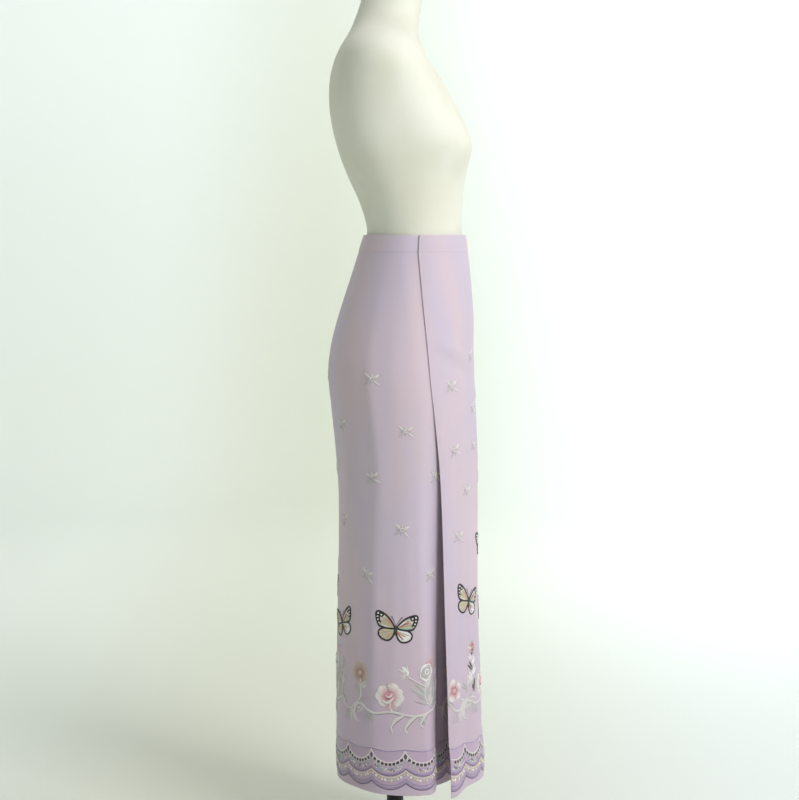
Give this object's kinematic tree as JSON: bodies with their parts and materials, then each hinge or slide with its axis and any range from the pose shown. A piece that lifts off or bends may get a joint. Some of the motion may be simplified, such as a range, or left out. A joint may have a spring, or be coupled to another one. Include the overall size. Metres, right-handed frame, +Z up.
{
  "type": "wrap sarong worn on a limbless dress form with a pole stand",
  "caption": "Ankle-length lilac wrap sarong with a floral garland, butterflies and an openwork scalloped hem border, worn on a limbless ivory dress form on a black pole stand.",
  "frame": {"origin": "on the floor under the pole's axis, at the centre of the base's underside", "axes": "+Z up along the pole, -Y to the front of the body, -X to the wearer's right, where the free edge of the wrap lies"},
  "size_m": [0.38, 0.38, 1.54],
  "materials": {
    "lilac_cloth": "matte crepe",
    "band_cloth": "matte crepe with embroidery",
    "form_cover": "smooth matte cover",
    "black_metal": "satin"
  },
  "bodies": {
    "root": {"sarong_front_flap": "lilac_cloth", "sarong_back_panel": "lilac_cloth", "hem_band_front": "band_cloth", "hem_band_back": "band_cloth", "waistband": "lilac_cloth", "form_torso": "form_cover", "stand_pole": "black_metal", "stand_base": "black_metal"}
  },
  "joints": []
}
